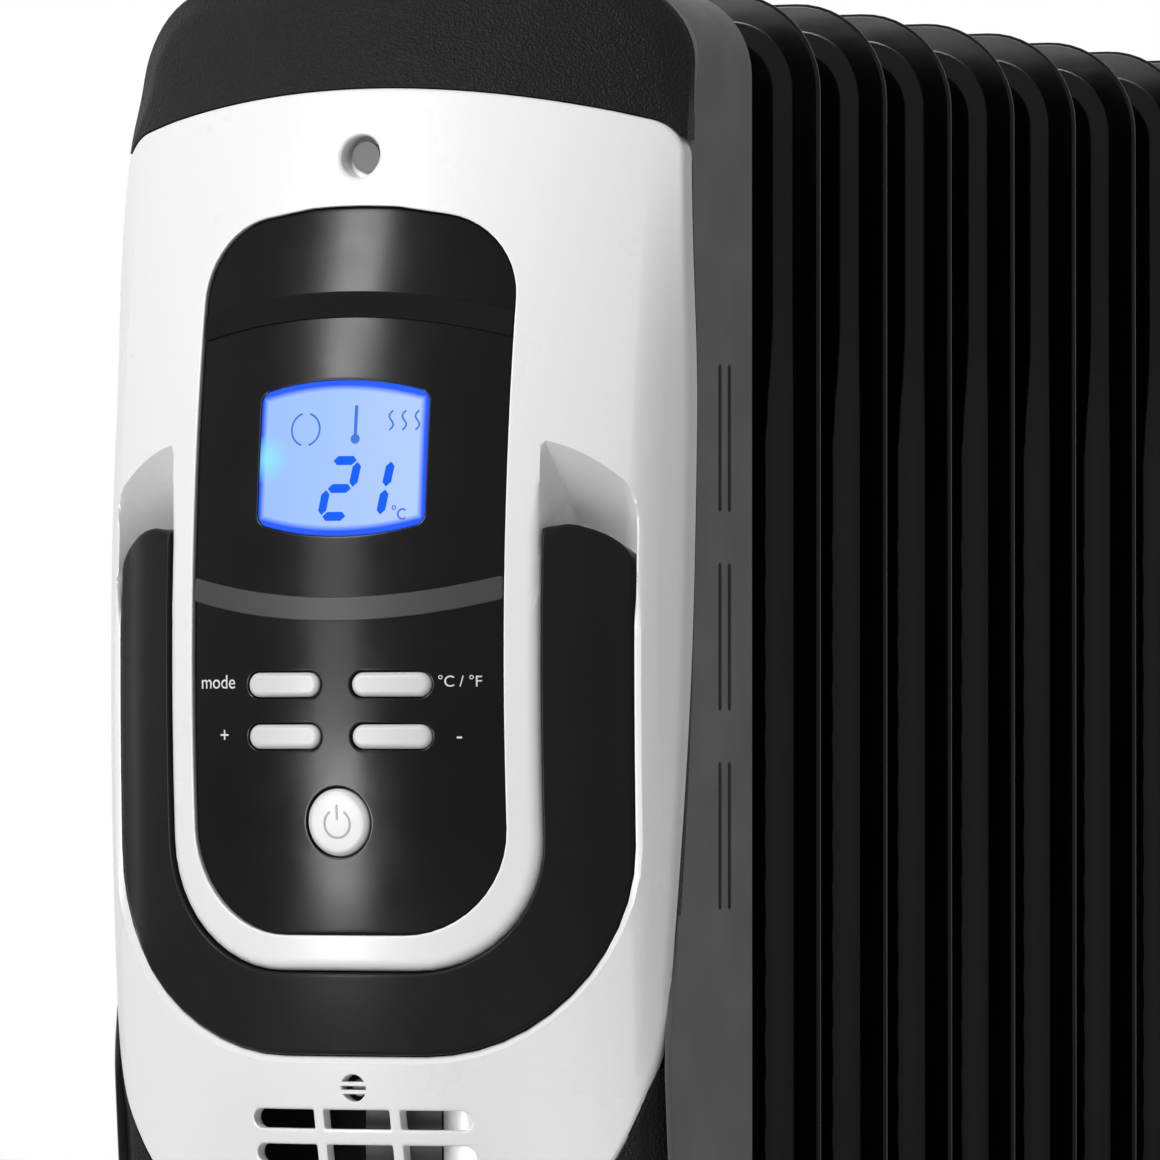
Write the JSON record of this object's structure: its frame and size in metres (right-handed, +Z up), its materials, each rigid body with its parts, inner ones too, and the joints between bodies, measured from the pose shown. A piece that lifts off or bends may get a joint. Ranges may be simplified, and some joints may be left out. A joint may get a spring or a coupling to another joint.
{
  "type": "oil filled radiator heater",
  "caption": "Free-standing oil filled radiator on castors: a stack of hollow steel fins with a bowed control housing, lit display, push buttons and a swing handle.",
  "frame": {"origin": "on the floor, under the middle of the part's box", "axes": "+Z up, the control housing faces -Y, the fins stack along +Y, +X to the right seen from the front"},
  "size_m": [0.236, 0.4411, 0.64],
  "materials": {
    "fin_enamel": "gloss black enamel on pressed steel",
    "bare_steel": "zinc plated steel",
    "gasket_rubber": "dark heat proof rubber",
    "hood_black": "black plastic with fine leather grain",
    "side_grey": "dark grey plastic with fine grain",
    "cover_white": "white gloss plastic",
    "panel_black": "black satin plastic",
    "band_grey": "dark grey satin band",
    "display_blue": "clear lens over a blue lit display",
    "button_grey": "light grey satin plastic",
    "handle_black": "black satin plastic",
    "board_green": "circuit board",
    "component_dark": "moulded component",
    "foot_black": "black painted sheet steel",
    "castor_black": "black moulded nylon",
    "wheel_grey": "dark hard rubber"
  },
  "bodies": {
    "root": {"accent_bands": "band_grey", "backlight_panel": "display_blue", "board_screws": "bare_steel", "control_board": "board_green", "control_panel": "panel_black", "cord_gland": "castor_black", "cover_screw": "bare_steel", "display_lens": "display_blue", "element_flange": "bare_steel", "element_gasket": "gasket_rubber", "end_caps": "fin_enamel", "filler_plug": "bare_steel", "fin_1": "fin_enamel", "fin_2": "fin_enamel", "fin_3": "fin_enamel", "fin_4": "fin_enamel", "fin_5": "fin_enamel", "fin_6": "fin_enamel", "fin_7": "fin_enamel", "fin_8": "fin_enamel", "fin_9": "fin_enamel", "foot_u_bolts": "bare_steel", "front_cover": "cover_white", "front_foot": "foot_black", "front_shell": "hood_black", "handle_pins": "bare_steel", "heating_element": "bare_steel", "housing_brackets": "bare_steel", "housing_screws": "bare_steel", "lcd_module": "display_blue", "lower_collars": "fin_enamel", "power_board": "board_green", "rear_foot": "foot_black", "rear_plate": "bare_steel", "rear_shell": "side_grey", "relays": "component_dark", "ribbon_cable": "component_dark", "room_sensor": "component_dark", "tact_switches": "component_dark", "terminal_block": "component_dark", "thermal_cutout": "component_dark", "tip_over_switch": "component_dark", "transformer": "component_dark", "upper_collars": "fin_enamel", "wing_nuts": "bare_steel"},
    "handle": {"handle": "handle_black"},
    "button_mode": {"button_mode": "button_grey"},
    "button_unit": {"button_unit": "button_grey"},
    "button_plus": {"button_plus": "button_grey"},
    "button_minus": {"button_minus": "button_grey"},
    "button_power": {"button_power": "button_grey"},
    "castor_fork_1": {"castor_fork_1": "castor_black"},
    "castor_wheels_1": {"castor_wheels_1": "wheel_grey"},
    "castor_fork_2": {"castor_fork_2": "castor_black"},
    "castor_wheels_2": {"castor_wheels_2": "wheel_grey"},
    "castor_fork_3": {"castor_fork_3": "castor_black"},
    "castor_wheels_3": {"castor_wheels_3": "wheel_grey"},
    "castor_fork_4": {"castor_fork_4": "castor_black"},
    "castor_wheels_4": {"castor_wheels_4": "wheel_grey"}
  },
  "joints": [
    {"name": "handle_swing", "type": "hinge", "parent": "root", "child": "handle", "pos_m": [0, -0.2025, 0.5], "axis": [-1, 0, 0], "range_deg": [0, 135]},
    {"name": "press_mode", "type": "slide", "parent": "root", "child": "button_mode", "axis": [0, 1, 0], "range_m": [0, 0.001], "stiffness_N_per_m": 400},
    {"name": "press_unit", "type": "slide", "parent": "root", "child": "button_unit", "axis": [0, 1, 0], "range_m": [0, 0.001], "stiffness_N_per_m": 400},
    {"name": "press_plus", "type": "slide", "parent": "root", "child": "button_plus", "axis": [0, 1, 0], "range_m": [0, 0.001], "stiffness_N_per_m": 400},
    {"name": "press_minus", "type": "slide", "parent": "root", "child": "button_minus", "axis": [0, 1, 0], "range_m": [0, 0.001], "stiffness_N_per_m": 400},
    {"name": "press_power", "type": "slide", "parent": "root", "child": "button_power", "axis": [0, 1, 0], "range_m": [0, 0.001], "stiffness_N_per_m": 400},
    {"name": "castor_1_swivel", "type": "hinge", "parent": "root", "child": "castor_fork_1", "pos_m": [-0.1, -0.0945, 0.05], "axis": [0, 0, 1], "continuous": true},
    {"name": "castor_1_roll", "type": "hinge", "parent": "castor_fork_1", "child": "castor_wheels_1", "pos_m": [-0.1, -0.0825, 0.02], "axis": [1, 0, 0], "continuous": true},
    {"name": "castor_2_swivel", "type": "hinge", "parent": "root", "child": "castor_fork_2", "pos_m": [0.1, -0.0945, 0.05], "axis": [0, 0, 1], "continuous": true},
    {"name": "castor_2_roll", "type": "hinge", "parent": "castor_fork_2", "child": "castor_wheels_2", "pos_m": [0.1, -0.0825, 0.02], "axis": [1, 0, 0], "continuous": true},
    {"name": "castor_3_swivel", "type": "hinge", "parent": "root", "child": "castor_fork_3", "pos_m": [-0.1, 0.1855, 0.05], "axis": [0, 0, 1], "continuous": true},
    {"name": "castor_3_roll", "type": "hinge", "parent": "castor_fork_3", "child": "castor_wheels_3", "pos_m": [-0.1, 0.1975, 0.02], "axis": [1, 0, 0], "continuous": true},
    {"name": "castor_4_swivel", "type": "hinge", "parent": "root", "child": "castor_fork_4", "pos_m": [0.1, 0.1855, 0.05], "axis": [0, 0, 1], "continuous": true},
    {"name": "castor_4_roll", "type": "hinge", "parent": "castor_fork_4", "child": "castor_wheels_4", "pos_m": [0.1, 0.1975, 0.02], "axis": [1, 0, 0], "continuous": true}
  ]
}
